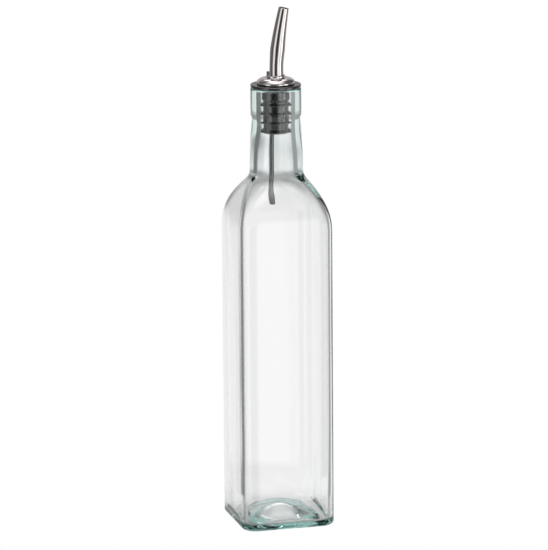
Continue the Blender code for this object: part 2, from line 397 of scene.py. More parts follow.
def skin_rings(name: str, rings: Sequence[np.ndarray], poles: tuple[Point, Point]) -> Mesh:
    """Skin a run of matched rings into a closed mesh.

    Args:
        name: The mesh's name.
        rings: Arrays of points, all of one length, the first and last round the poles.
        poles: The point inside the first ring and the one inside the last.

    Returns:
        The mesh, with its faces pointing out.
    """
    count = len(rings[0])
    points = np.concatenate([*rings, np.array(poles)])
    first_pole, last_pole = len(points) - 2, len(points) - 1
    faces: list[tuple[int, ...]] = []
    for row in range(len(rings) - 1):
        low = row * count
        high = low + count
        for n in range(count):
            m = (n + 1) % count
            faces.append((low + n, low + m, high + m, high + n))
    last = (len(rings) - 1) * count
    for n in range(count):
        m = (n + 1) % count
        faces.append((first_pole, m, n))
        faces.append((last_pole, last + n, last + m))
    mesh = bpy.data.meshes.new(name)
    mesh.from_pydata(points.tolist(), [], faces)
    mend(mesh)
    return mesh


def shade(mesh: Mesh, sharp_degrees: float) -> None:
    """Shade a mesh smooth, apart from edges sharper than an angle."""
    mesh.shade_smooth()
    mesh.set_sharp_from_angle(angle=math.radians(sharp_degrees))


def bevel(obj: Object, width: float, segments: int, degrees: float) -> None:
    """Round an object's edges that are sharper than an angle.

    Args:
        obj: The object.
        width: How wide the rounding is.
        segments: How many steps it takes.
        degrees: The angle.
    """
    made = obj.modifiers.new("bevel", "BEVEL")
    made.width = width
    made.segments = segments
    made.limit_method = "ANGLE"
    made.angle_limit = math.radians(degrees)


def grow(obj: Object, tree: bpy.types.NodeTree, values: dict[str, object]) -> None:
    """Give an object a Geometry Nodes tree, its inputs set by their identifiers.

    Args:
        obj: The object.
        tree: The tree.
        values: Values by the sockets' names.
    """
    modifier = obj.modifiers.new(tree.name, "NODES")
    modifier.node_group = tree
    for item in tree.interface.items_tree:
        if item.item_type == "SOCKET" and item.in_out == "INPUT" and item.name in values:
            modifier[item.identifier] = values[item.name]


def settled(obj: Object, name: str) -> Object:
    """Turn an object with its modifiers into a plain mesh object at the origin.

    Args:
        obj: The object, which is removed.
        name: The new object's name.

    Returns:
        The plain mesh object, which keeps the materials.
    """
    bpy.context.view_layer.update()
    graph = bpy.context.evaluated_depsgraph_get()
    mesh = bpy.data.meshes.new_from_object(obj.evaluated_get(graph))
    mesh.transform(obj.matrix_world)
    obj.modifiers.clear()
    bpy.data.objects.remove(obj)
    mesh.name = name
    return add_object(name, mesh)


def file_piece(piece: Object, slot: Slot, *nodes: str) -> None:
    """Say what a finished piece moves with and what it replaces.

    Args:
        piece: The finished object.
        slot: The record's material slot; not used.
        *nodes: The solids that it stands for.
    """
    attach(piece, BODY)
    if nodes:
        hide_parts(*nodes)
    low = [min(v.co[k] for v in piece.data.vertices) / MM for k in range(3)]
    high = [max(v.co[k] for v in piece.data.vertices) / MM for k in range(3)]
    sides = " x ".join(f"{b - a:.1f}" for a, b in zip(low, high))
    LOG.info("%s: %d faces, %s mm", piece.name, len(piece.data.polygons), sides)


def arc_profile(start: float, end: float, steps: int) -> list[float]:
    """Values from start to end, both included, in this many steps."""
    return [start + (end - start) * n / steps for n in range(steps + 1)]


def eased(share: float) -> float:
    """A share from 0 to 1 that starts and ends gently."""
    return share * share * (3 - 2 * share)


@dataclass(frozen=True)
class Level:
    """One section of the glass: a rounded square, or a circle where corner equals half."""

    half: float
    corner: float
    z: float
    inner: bool = False
    shift: Pair = (0.0, 0.0)


class Piece(ABC):
    """A piece of the model, which stands for one of the solids."""

    title: ClassVar[str]
    slot: ClassVar[Slot]
    node: ClassVar[str]

    @abstractmethod
    def build(self, finish: Material) -> Object:
        """Make the piece.

        Args:
            finish: Its material.

        Returns:
            The piece.
        """

    def install(self, finish: Material) -> None:
        """Make the piece and file it in place of its solid."""
        file_piece(self.build(finish), self.slot, self.node)


@dataclass
class GlassBottle(Piece):
    """The hollow glass: a square body, a vaulted shoulder, and a round neck with a collar."""

    title = "bottle_glass"
    slot = Slot.GLASS
    node = "bottle"

    half: float = 28.5 * MM
    corner: float = 9.2 * MM
    wall: float = 2.3 * MM
    inner_corner: float = 7.0 * MM
    heel_corner: float = 8.0 * MM
    foot_round: float = 2.4 * MM
    foot_ring: float = 4.5 * MM
    foot_steps: int = 10
    recess_rise: float = 6.8 * MM
    recess_from: float = 0.08
    recess_steps: int = 14
    heel_z: float = 3.4 * MM
    floor_round: float = 1.4 * MM
    floor_round_steps: int = 14
    punt_top_z: float = 11.2 * MM
    punt_r: float = 21.5 * MM
    punt_foot: float = 1.0 * MM
    punt_span: Pair = (0.97, 0.05)
    punt_steps: int = 30
    shoulder_z: float = 180.2 * MM
    neck_z: float = 210.3 * MM
    shoulder_arc_up: float = 49.2 * MM
    corner_growth: float = 2.57
    inner_corner_growth: float = 3.1
    neck_foot_r: float = 15.8 * MM
    neck_top_r: float = 14.2 * MM
    neck_flare: float = 2.6
    collar_r: float = 15.1 * MM
    collar_z: float = 247.0 * MM
    collar_lip: float = 0.3 * MM
    collar_from: float = 0.1
    collar_steps: int = 6
    chamfer: float = 2.2 * MM
    rim_z: float = 262.8 * MM
    rim_round: float = 1.0 * MM
    rim_steps: int = 6
    bore_r: float = 9.4 * MM
    bore_low_r: float = 11.2 * MM
    bore_from: float = 0.03
    bore_from_z: float = 236.0 * MM
    bore_to_z: float = 213.0 * MM
    bore_shift: Pair = (-0.35 * MM, 0.09 * MM)
    bore_shift_from_z: float = 240.0 * MM
    bore_shift_to_z: float = 226.0 * MM
    outer_blend: Pair = (2.0 * MM, 1.5)
    inner_blend: Pair = (2.4 * MM, 2.5)
    blend_step: float = 0.5 * MM
    fine_from_z: float = 165.0 * MM
    fine_step: float = 1.3 * MM
    points_around: int = 240
    gather: float = 0.6
    level_step: float = 3.0 * MM
    wave_height: float = 0.10 * MM
    wave_across: float = 19 * MM
    wave_along: float = 48 * MM
    skin_wave: float = 0.02 * MM
    neck_wave_share: float = 0.3
    inner_seed: float = 11.3
    outer_seed: float = 47.9
    heel_thickening: float = 0.3 * MM
    heel_reach: float = 22 * MM

    def angles(self) -> np.ndarray:
        """Directions of the points round a section, closer together at the corners."""
        part = np.arange(self.points_around) * 4 / self.points_around
        along = part - np.floor(part)
        bunched = along + self.gather / (2 * math.pi) * np.sin(2 * math.pi * along)
        return (np.floor(part) + bunched) * math.pi / 2

    def reach(self, level: Level) -> np.ndarray:
        """How far out the rounded square of one section lies, in each direction."""
        turn = self.angles()
        c, s = np.abs(np.cos(turn)), np.abs(np.sin(turn))
        middle = max(level.half - level.corner, 0.0)
        flat = level.half / np.maximum(c, s)
        inside = np.maximum(level.corner**2 - (middle * (c - s)) ** 2, 0.0)
        round_out = middle * (c + s) + np.sqrt(inside)
        return np.where(flat * np.minimum(c, s) <= middle, flat, round_out)

    def section(self, level: Level, out: np.ndarray | None = None) -> np.ndarray:
        """Points of one section.

        Args:
            level: The section's sizes and height.
            out: How far out it lies in each direction, if that isn't a plain rounded square.

        Returns:
            An array of points, counter-clockwise from +X.
        """
        turn = self.angles()
        out = self.reach(level) if out is None else out
        x = out * np.cos(turn) + level.shift[0]
        y = out * np.sin(turn) + level.shift[1]
        points = np.stack([x, y, np.full_like(x, level.z)], axis=1)
        return self.waved(points, level)

    def blended(self, levels: list[Level], blend: Pair) -> list[np.ndarray]:
        """Points of a run of sections whose creases are softened, as blown glass is.

        Args:
            levels: The run, in one direction along Z.
            blend: How wide the softening is, up the run and round each section in points.

        Returns:
            The points of each section.
        """
        heights = np.array([level.z for level in levels])
        outs = np.array([self.reach(level) for level in levels])
        order = np.argsort(heights)
        even = np.arange(heights.min(), heights.max() + self.blend_step, self.blend_step)
        field = np.array([np.interp(even, heights[order], column) for column in outs[order].T]).T
        up, around = blend
        span = int(BLUR_REACH * up / self.blend_step)
        weights = np.exp(-0.5 * (np.arange(-span, span + 1) * self.blend_step / up) ** 2)
        padded = np.pad(field, ((span, span), (0, 0)), mode="edge")
        rows = range(len(even))
        field = np.array([weights @ padded[n : n + 2 * span + 1] for n in rows]) / weights.sum()
        span = int(BLUR_REACH * around)
        steps = range(-span, span + 1)
        shares = np.exp(-0.5 * (np.array(steps) / around) ** 2)
        rolled = sum(share * np.roll(field, step, axis=1) for step, share in zip(steps, shares))
        field = rolled / shares.sum()
        soft = np.array([np.interp(heights, even, column) for column in field.T]).T
        return [self.section(level, out) for level, out in zip(levels, soft)]

    def waved(self, points: np.ndarray, level: Level) -> np.ndarray:
        """Add the unevenness of the glass, most on its inner wall.

        Args:
            points: A section's points.
            level: The section.

        Returns:
            The moved points.
        """
        height = self.wave_height if level.inner else self.skin_wave
        reach = min(1.0, level.half / self.half) * height
        if level.inner and level.z > self.bore_shift_from_z:
            reach = 0.0
        if not level.inner and level.z > self.neck_z:
            reach *= self.neck_wave_share
        seed = self.inner_seed if level.inner else self.outer_seed
        moved = points.copy()
        for n, (x, y, z) in enumerate(points):
            size = math.hypot(x, y)
            if size < MM:
                continue
            spot = (x / self.wave_across + seed, y / self.wave_across, z / self.wave_along)
            push = reach * noise.noise(Vector(spot)) / size
            moved[n, 0] += x * push
            moved[n, 1] += y * push
        return moved

    def underside(self) -> list[Level]:
        """The recess under the base, the ring that it stands on, and the foot's edge."""
        flat_out = self.half - self.foot_round
        flat_in = flat_out - self.foot_ring
        levels = []
        for share in arc_profile(self.recess_from, 1.0, self.recess_steps):
            side = share * flat_in
            rise = self.recess_rise * math.cos(share * math.pi / 2) ** 2
            round_here = side * (1 - share / 2)
            corner = round_here + (self.corner - round_here) * share**4
            levels.append(Level(side, corner, rise))
        levels.append(Level((flat_in + flat_out) / 2, self.corner, 0.0))
        for angle in arc_profile(0.0, math.pi / 2, self.foot_steps):
            side = flat_out + self.foot_round * math.sin(angle)
            corner = self.corner - self.half + side
            levels.append(Level(side, corner, self.foot_round * (1 - math.cos(angle))))
        return levels

    def shoulder(self, half: float, corner: float, neck_r: float, inner: bool) -> list[Level]:
        """The vault from the straight sides to the neck.

        Args:
            half: Half the side below it.
            corner: The corner radius below it.
            neck_r: The neck's radius above it.
            inner: Whether it is the inner wall.

        Returns:
            Its sections, from the bottom up.
        """
        height = self.neck_z - self.shoulder_z
        in_at_neck = 1 - math.sqrt(1 - (height / self.shoulder_arc_up) ** 2)
        arc_in = (half - neck_r) / in_at_neck
        growth = self.inner_corner_growth if inner else self.corner_growth
        levels = []
        for share in arc_profile(0.0, 1.0, round(height / self.fine_step)):
            up = share * height
            side = half - arc_in * (1 - math.sqrt(1 - (up / self.shoulder_arc_up) ** 2))
            radius = corner + (side - corner) * share**growth
            levels.append(Level(side, radius, self.shoulder_z + up, inner))
        return levels

    def neck(self) -> list[Level]:
        """The neck outside, up to the chamfer under the collar."""
        height = self.collar_z - self.chamfer - self.neck_z
        narrowing = self.neck_foot_r - self.neck_top_r
        levels = []
        for share in arc_profile(0.0, 1.0, round(height / self.fine_step))[1:]:
            radius = self.neck_foot_r - narrowing * share**self.neck_flare
            levels.append(Level(radius, radius, self.neck_z + share * height))
        return levels

    def mouth(self) -> list[Level]:
        """The collar, and the rim round into the bore."""
        levels = [Level(self.collar_r, self.collar_r, self.collar_z + self.collar_lip)]
        top = self.rim_z - self.rim_round
        for share in arc_profile(self.collar_from, 1.0, self.collar_steps):
            z = self.collar_z + share * (top - self.collar_z)
            levels.append(Level(self.collar_r, self.collar_r, z))
        for angle in arc_profile(0.0, math.pi / 2, self.rim_steps)[1:]:
            radius = self.collar_r - self.rim_round * (1 - math.cos(angle))
            levels.append(Level(radius, radius, top + self.rim_round * math.sin(angle)))
        for angle in arc_profile(math.pi / 2, 0.0, self.rim_steps):
            radius = self.bore_r + self.rim_round * (1 - math.cos(angle))
            levels.append(Level(radius, radius, top + self.rim_round * math.sin(angle), True))
        return levels

    def bore(self) -> list[Level]:
        """The bore, from the rim down to the shoulder inside."""
        levels = []
        top = self.rim_z - self.rim_round
        height = top - self.neck_z
        for share in arc_profile(self.bore_from, 1.0, round(height / self.fine_step)):
            z = top - share * height
            down = (self.bore_from_z - z) / (self.bore_from_z - self.bore_to_z)
            down = min(max(down, 0.0), 1.0)
            radius = self.bore_r + (self.bore_low_r - self.bore_r) * math.sin(down * math.pi / 2)
            levels.append(Level(radius, radius, z, True, self.off_centre(z)))
        return levels

    def off_centre(self, z: float) -> Pair:
        """How far the bore has wandered off the axis at a height."""
        share = (self.bore_shift_from_z - z) / (self.bore_shift_from_z - self.bore_shift_to_z)
        ease = eased(min(max(share, 0.0), 1.0))
        if z < self.neck_z:
            ease *= max(0.0, (z - self.shoulder_z) / (self.neck_z - self.shoulder_z))
        return (self.bore_shift[0] * ease, self.bore_shift[1] * ease)

    def inner_side(self) -> list[Level]:
        """The straight inner wall, which thickens towards the heel."""
        half = self.half - self.wall
        levels = []
        for z in reversed(self.side_heights(self.heel_z + self.floor_round)):
            extra = self.thickening(z)
            share = extra / self.heel_thickening
            corner = self.inner_corner + (self.heel_corner - self.inner_corner) * share
            levels.append(Level(half - extra, corner, z, True))
        return levels

    def thickening(self, z: float) -> float:
        """How much thicker the wall is at a height than higher up."""
        above = z - self.heel_z - self.floor_round
        return self.heel_thickening * math.exp(-above / self.heel_reach)

    def floor(self) -> list[Level]:
        """The floor inside: the fillet at its edge, then up over the push-up."""
        half = self.half - self.wall - self.heel_thickening
        corner = self.heel_corner
        levels = []
        for angle in arc_profile(0.0, math.pi / 2, self.floor_round_steps)[1:]:
            side = half - self.floor_round * (1 - math.cos(angle))
            z = self.heel_z + self.floor_round * (1 - math.sin(angle))
            levels.append(Level(side, min(corner, side), z, True))
        flat = half - self.floor_round
        for share in arc_profile(*self.punt_span, self.punt_steps):
            side = share * flat
            corner_here = corner + max(side - corner, 0.0) * (1 - share)
            z = self.heel_z + self.dome(side)
            levels.append(Level(side, min(corner_here, side), z, True))
        return levels

    def dome(self, side: float) -> float:
        """How high the push-up rises at a distance from the axis: a cap with a soft foot."""
        high = self.punt_top_z - self.heel_z
        ball = (self.punt_r**2 + high**2) / (2 * high)
        out = math.sqrt(max(ball**2 - side**2, 0.0)) - (ball - high) if side < ball else -high
        soft = self.punt_foot
        raised = math.sqrt(high**2 + soft**2) - high
        return 0.5 * (out + math.sqrt(out**2 + soft**2)) - 0.5 * raised

    def side_heights(self, low: float) -> list[float]:
        """Heights of the sections up a straight side, closer together at its top."""
        middle, top = self.fine_from_z, self.shoulder_z
        coarse = arc_profile(low, middle, round((middle - low) / self.level_step))
        fine = arc_profile(middle, top, round((top - middle) / self.fine_step))
        return [*coarse, *fine[1:]]

    def outer_side(self) -> list[Level]:
        """The straight outer sides."""
        return [Level(self.half, self.corner, z) for z in self.side_heights(self.foot_round)[1:-1]]

    def inner_shoulder(self) -> list[Level]:
        """The inside of the shoulder, from the bore down to the straight wall."""
        vault = self.shoulder(self.half - self.wall, self.inner_corner, self.bore_low_r, True)
        return [
            Level(lv.half, lv.corner, lv.z, True, self.off_centre(lv.z)) for lv in reversed(vault)
        ]

    def build(self, finish: Material) -> Object:
        """Make the glass as one closed shell."""
        vault = self.shoulder(self.half, self.corner, self.neck_foot_r, False)
        outside = self.outer_side() + vault + self.neck()
        inside = self.bore()[:-1] + self.inner_shoulder() + self.inner_side()[1:]
        rings = [self.section(level) for level in self.underside()]
        rings += self.blended(outside, self.outer_blend)
        rings += [self.section(level) for level in self.mouth()]
        rings += self.blended(inside, self.inner_blend)
        rings += [self.section(level) for level in self.floor()]
        poles = ((0.0, 0.0, self.recess_rise), (0.0, 0.0, self.punt_top_z))
        mesh = skin_rings(self.title, rings, poles)
        shade(mesh, SHARP_DEGREES)
        return add_object(self.title, mesh, finish)


# From the pourer's own axes, whose X is the way that the spout leans, to the bottle's.
POURER_TURN = Matrix.Rotation(math.radians(-15.0), 4, "Z")


def rounded_profile(profile: Profile, radius: float, steps: int) -> Profile:
    """Round the corners of a profile.

    Args:
        profile: Radius and height of each corner, from pole to pole.
        radius: How far from each corner its rounding starts.
        steps: Steps in each rounding.

    Returns:
        The profile with each inner corner rounded.
    """
    made = [profile[0]]
    for before, corner, after in zip(profile, profile[1:], profile[2:]):
        at = Vector(corner)
        back, on = Vector(before) - at, Vector(after) - at
        reach = min(radius, ROUNDED_SHARE * back.length, ROUNDED_SHARE * on.length)
        start, end = at + back.normalized() * reach, at + on.normalized() * reach
        for n in range(steps + 1):
            t = n / steps
            spot = start * (1 - t) ** 2 + at * 2 * t * (1 - t) + end * t**2
            made.append((spot.x, spot.y))
    made.append(profile[-1])
    return made


def rod(name: str, centre: Pair, radius: float, low: float, high: float) -> Object:
    """Make an upright round cutter in the pourer's axes.

    Args:
        name: Its name.
        centre: Its centre's X and Y.
        radius: Its radius.
        low: Its foot.
        high: Its top.

    Returns:
        The cutter.
    """
    shape = bmesh.new()
    sizes = {"segments": ROD_SIDES, "radius1": radius, "radius2": radius, "depth": high - low}
    bmesh.ops.create_cone(shape, cap_ends=True, **sizes)
    bmesh.ops.translate(shape, verts=shape.verts, vec=(*centre, (low + high) / 2))
    cutter = add_object(name, filled_mesh(name, shape))
    cutter.matrix_world = POURER_TURN
    return cutter


def drilled(obj: Object, cutters: Sequence[Object]) -> None:
    """Take cutters out of a piece.

    Args:
        obj: The piece.
        cutters: What is taken out.
    """
    for cutter in cutters:
        boolean = obj.modifiers.new(cutter.name, "BOOLEAN")
        boolean.operation = "DIFFERENCE"
        boolean.solver = "EXACT"
        boolean.object = cutter


@dataclass
class TubePiece(Piece):
    """A round steel tube that follows a path, made by a Geometry Nodes sweep."""

    slot = Slot.STEEL

    wall: float
    sides: int
    lip: float
    lip_segments: int = 3

    @abstractmethod
    def path(self) -> list[tuple[Point, float]]:
        """The tube's centre and radius at each step, in the pourer's axes."""

    def sweep_tree(self) -> bpy.types.NodeTree:
        """Build the tree that sweeps a circle along the object's own curve.

        Returns:
            The tree, with inputs Sides and Finish.
        """
        graph = Graph(bpy.data.node_groups.new(f"{self.title}_sweep", "GeometryNodeTree"))
        given = graph.start_group({"Sides": "Int", "Finish": "Material"})
        circle = graph.add(
            "GeometryNodeCurvePrimitiveCircle",
            {"Resolution": given["Sides"], "Radius": 1.0},
            mode="RADIUS",
        )
        lines = {"Curve": given["Geometry"], "Profile Curve": circle.outputs["Curve"]}
        swept = graph.add("GeometryNodeCurveToMesh", lines)
        if "Scale" in swept.inputs:
            radius = graph.add("GeometryNodeInputRadius").outputs[0]
            graph.tree.links.new(radius, swept.inputs["Scale"])
        smooth = graph.add("GeometryNodeSetShadeSmooth", {"Geometry": swept.outputs["Mesh"]})
        graph.end_group(smooth.outputs[0], given["Finish"])
        return graph.tree

    def curve(self) -> bpy.types.Curve:
        """Make the path, with a radius at each point."""
        data = bpy.data.curves.new(self.title, "CURVE")
        data.dimensions = "3D"
        line = data.splines.new("POLY")
        path = self.path()
        line.points.add(len(path) - 1)
        for target, (centre, radius) in zip(line.points, path):
            target.co = (*centre, 1.0)
            target.radius = radius
        return data

    def build(self, finish: Material) -> Object:
        """Sweep the tube and give it a wall with rounded lips."""
        obj = add_object(f"{self.title}_path", self.curve())
        obj.matrix_world = POURER_TURN
        grow(obj, self.sweep_tree(), {"Sides": self.sides, "Finish": finish})
        tube = settled(obj, f"{self.title}_skin")
        mend(tube.data)
        self.point_outwards(tube.data)
        wall = tube.modifiers.new("wall", "SOLIDIFY")
        wall.thickness = self.wall
        wall.offset = -1.0
        wall.use_even_offset = True
        bevel(tube, self.lip, self.lip_segments, SHARP_DEGREES)
        made = settled(tube, self.title)
        shade(made.data, SHARP_DEGREES)
        return made

    def point_outwards(self, mesh: Mesh) -> None:
        """Turn the open tube's faces away from its path.

        Args:
            mesh: The tube's skin.
        """
        face = mesh.polygons[len(mesh.polygons) // 2]
        centres = [Vector(centre) for centre, _ in self.path()]
        nearest = min(centres, key=lambda p: abs(p.z - face.center.z))
        out = Vector((face.center.x, face.center.y, 0)) - Vector((nearest.x, nearest.y, 0))
        turned_out = POURER_TURN.inverted().to_3x3() @ face.normal
        if turned_out.dot(out) < 0 and out.length > 0:
            mesh.flip_normals()


@dataclass
class Spout(TubePiece):
    """The tapered steel spout: upright at its foot, leaning over at its tip."""

    title = "spout_steel"
    node = "spout"

    wall: float = 0.5 * MM
    sides: int = 72
    lip: float = 0.14 * MM
    points: int = 60
    foot_x: float = 0.5 * MM
    foot_z: float = 263.7 * MM
    bend_z: float = 275.0 * MM
    tip_z: float = 310.3 * MM
    lean: float = 4.6 * MM
    bend_power: float = 1.48
    foot_r: float = 4.30 * MM
    waist_r: float = 4.15 * MM
    waist_z: float = 276.5 * MM
    belly_r: float = 4.45 * MM
    belly_z: float = 286.0 * MM
    tip_r: float = 3.05 * MM

    def centre(self, z: float) -> Point:
        """The spout's centre at a height."""
        along = max(z - self.bend_z, 0.0) / (self.tip_z - self.bend_z)
        return (self.foot_x + self.lean * along**self.bend_power, 0.0, z)

    def radius(self, z: float) -> float:
        """The spout's outer radius at a height: a slight waist, a belly, and a taper."""
        stops = [
            (self.foot_z, self.foot_r),
            (self.waist_z, self.waist_r),
            (self.belly_z, self.belly_r),
            (self.tip_z, self.tip_r),
        ]
        for (low, low_r), (high, high_r) in zip(stops, stops[1:]):
            if z <= high + WELD:
                share = (z - low) / (high - low)
                return low_r + (high_r - low_r) * (share if high == self.tip_z else eased(share))
        return self.tip_r

    def path(self) -> list[tuple[Point, float]]:
        """The spout's centre and radius, from its foot to its tip."""
        heights = arc_profile(self.foot_z, self.tip_z, self.points - 1)
        return [(self.centre(z), self.radius(z)) for z in heights]


@dataclass
class AirTube(TubePiece):
    """The thin steel tube that lets air in beside the spout."""

    title = "air_tube_steel"
    node = "air_tube"

    wall: float = 0.4 * MM
    sides: int = 32
    lip: float = 0.1 * MM
    radius: float = 1.45 * MM
    foot_z: float = 192.2 * MM
    top_z: float = 271.6 * MM
    low: Pair = (-2.6 * MM, 4.2 * MM)
    high: Pair = (-3.9 * MM, 4.3 * MM)
    bend_from_z: float = 250.0 * MM
    bend_to_z: float = 262.0 * MM
    bend_points: int = 16

    def path(self) -> list[tuple[Point, float]]:
        """The tube's centre and radius, with a slight shift inside the stopper."""
        centres = [(*self.low, self.foot_z)]
        for share in arc_profile(0.0, 1.0, self.bend_points):
            x, y = (a + (b - a) * eased(share) for a, b in zip(self.low, self.high))
            z = self.bend_from_z + (self.bend_to_z - self.bend_from_z) * share
            centres.append((x, y, z))
        centres.append((*self.high, self.top_z))
        return [(centre, self.radius) for centre in centres]


@dataclass
class TurnedPiece(Piece):
    """A piece that is turned about the neck's axis, then drilled."""

    cutters: Sequence[Object] = ()
    steps: int = 128

    @abstractmethod
    def profile(self) -> Profile:
        """Radius and height of its outline, from the top down."""

    def blank(self) -> Mesh:
        """Turn the profile about Z into a closed mesh."""
        profile = self.profile()
        turn = np.arange(self.steps) * 2 * math.pi / self.steps
        across, along = np.cos(turn), np.sin(turn)
        rings = [
            np.stack([radius * across, radius * along, np.full(self.steps, z)], axis=1)
            for radius, z in profile[1:-1]
        ]
        poles = ((0.0, 0.0, profile[0][1]), (0.0, 0.0, profile[-1][1]))
        return skin_rings(f"{self.title}_blank", rings, poles)

    def build(self, finish: Material) -> Object:
        """Turn the piece and drill what passes through it."""
        obj = add_object(f"{self.title}_blank", self.blank(), finish)
        obj.matrix_world = POURER_TURN
        drilled(obj, self.cutters)
        made = settled(obj, self.title)
        shade(made.data, TURNED_SHARP_DEGREES)
        return made


@dataclass
class Cap(TurnedPiece):
    """The steel cap: a shallow dome with a raised boss round the spout."""

    title = "cap_steel"
    slot = Slot.STEEL
    node = "cap"

    foot_z: float = 265.3 * MM
    radius: float = 11.35 * MM
    edge: float = 0.7 * MM
    rise: float = 2.9 * MM
    boss_r: float = 5.7 * MM
    boss_rise: float = 1.4 * MM
    boss_foot: float = 0.2 * MM
    boss_gap: float = 0.4 * MM
    rounding: float = 0.3 * MM
    rounding_steps: int = 3
    dome_steps: int = 18

    def profile(self) -> Profile:
        """Radius and height, from the boss's top down to the underside."""
        shoulder = self.foot_z + self.edge
        dome_top = shoulder + self.rise
        boss_top = dome_top + self.boss_rise
        made = [(0.0, boss_top), (self.boss_r, boss_top), (self.boss_r, dome_top + self.boss_foot)]
        dome_in = self.boss_r + self.boss_gap
        for angle in arc_profile(0.0, math.pi / 2, self.dome_steps):
            x = dome_in + (self.radius - dome_in) * math.sin(angle)
            made.append((x, shoulder + self.rise * math.cos(angle)))
        made += [(self.radius, self.foot_z), (0.0, self.foot_z)]
        return rounded_profile(made, self.rounding, self.rounding_steps)


@dataclass
class Stopper(TurnedPiece):
    """The rubber stopper: a flange over the rim and a finned plug in the bore."""

    title = "stopper_plug"
    slot = Slot.RUBBER
    node = "stopper"

    flange_r: float = 15.0 * MM
    flange_top_z: float = 265.0 * MM
    flange_foot_z: float = 263.1 * MM
    head_r: float = 8.2 * MM
    head_z: float = 256.0 * MM
    plug_r: float = 7.5 * MM
    plug_foot_z: float = 236.0 * MM
    edge: float = 0.4 * MM
    rounding: float = 0.6 * MM
    rounding_steps: int = 5
    fin_count: int = 4
    fin_first_z: float = 237.8 * MM
    fin_pitch: float = 5.4 * MM
    fin_root: float = 1.4 * MM
    fin_tip: float = 0.5 * MM
    fin_lift: float = 0.6 * MM
    fin_r: float = 9.32 * MM
    fin_sunk: float = 0.2 * MM
    fin_edge: float = 0.12 * MM
    fin_edge_segments: int = 2
    fin_edge_degrees: float = 40

    def profile(self) -> Profile:
        """Radius and height of the plug and flange, from the top down."""
        made = [
            (0.0, self.flange_top_z),
            (self.flange_r, self.flange_top_z),
            (self.flange_r, self.flange_foot_z),
            (self.head_r, self.flange_foot_z),
            (self.head_r, self.head_z + self.edge),
            (self.plug_r, self.head_z - self.edge),
            (self.plug_r, self.plug_foot_z),
            (0.0, self.plug_foot_z),
        ]
        return rounded_profile(made, self.rounding, self.rounding_steps)

    def fin_tree(self) -> bpy.types.NodeTree:
        """Build the tree that stands one turned fin on each point of a line.

        Returns:
            The tree, with inputs for the fins' number, places and sizes.
        """
        graph = Graph(bpy.data.node_groups.new("sealing_fins", "GeometryNodeTree"))
        sizes = ("First Height", "Pitch", "Root Radius", "Tip Radius", "Root", "Tip", "Lift")
        kinds = {"Count": "Int", "Steps": "Int", **dict.fromkeys(sizes, "Float")}
        given = graph.start_group({**kinds, "Finish": "Material"})

        def spot(radius: Socket, *height: object) -> Socket:
            """A corner of the fin's section, across and up."""
            across = graph.math("SUBTRACT", radius, given["Root Radius"])
            return graph.add("ShaderNodeCombineXYZ", {0: across, 1: graph.math(*height)}).outputs[0]

        half_root = graph.math("MULTIPLY", given["Root"], 0.5)
        half_tip = graph.math("MULTIPLY", given["Tip"], 0.5)
        section = graph.add(
            "GeometryNodeCurvePrimitiveQuadrilateral",
            {
                "Point 1": spot(given["Root Radius"], "MULTIPLY", half_root, 1.0),
                "Point 2": spot(given["Root Radius"], "MULTIPLY", half_root, -1.0),
                "Point 3": spot(given["Tip Radius"], "SUBTRACT", given["Lift"], half_tip),
                "Point 4": spot(given["Tip Radius"], "ADD", given["Lift"], half_tip),
            },
            mode="POINTS",
        )
        ring = graph.add(
            "GeometryNodeCurvePrimitiveCircle",
            {"Resolution": given["Steps"], "Radius": given["Root Radius"]},
            mode="RADIUS",
        )
        lines = {"Curve": ring.outputs["Curve"], "Profile Curve": section.outputs["Curve"]}
        fin = graph.add("GeometryNodeCurveToMesh", lines).outputs[0]
        first = graph.add("ShaderNodeCombineXYZ", {2: given["First Height"]}).outputs[0]
        step = graph.add("ShaderNodeCombineXYZ", {2: given["Pitch"]}).outputs[0]
        places = {"Count": given["Count"], "Start Location": first, "Offset": step}
        line = graph.add("GeometryNodeMeshLine", places, mode="OFFSET").outputs[0]
        stand = graph.add("GeometryNodeInstanceOnPoints", {"Points": line, "Instance": fin})
        graph.end_group(stand.outputs[0], given["Finish"])
        return graph.tree

    def build_fins(self, finish: Material) -> Object:
        """Make the fins.

        Args:
            finish: The rubber.

        Returns:
            All the fins as one plain mesh.
        """
        obj = add_object("fins_base", bpy.data.meshes.new("fins_base"))
        obj.matrix_world = POURER_TURN
        values = {
            "Count": self.fin_count,
            "Steps": self.steps,
            "First Height": self.fin_first_z,
            "Pitch": self.fin_pitch,
            "Root Radius": self.plug_r - self.fin_sunk,
            "Tip Radius": self.fin_r,
            "Root": self.fin_root,
            "Tip": self.fin_tip,
            "Lift": self.fin_lift,
            "Finish": finish,
        }
        grow(obj, self.fin_tree(), values)
        fins = settled(obj, "fins_sharp")
        bevel(fins, self.fin_edge, self.fin_edge_segments, self.fin_edge_degrees)
        made = settled(fins, "stopper_fins")
        mend(made.data, weld=False)
        shade(made.data, TURNED_SHARP_DEGREES)
        return made

    def install(self, finish: Material) -> None:
        """Make the plug and its fins and file them in place of their solid."""
        super().install(finish)
        file_piece(self.build_fins(finish), self.slot)


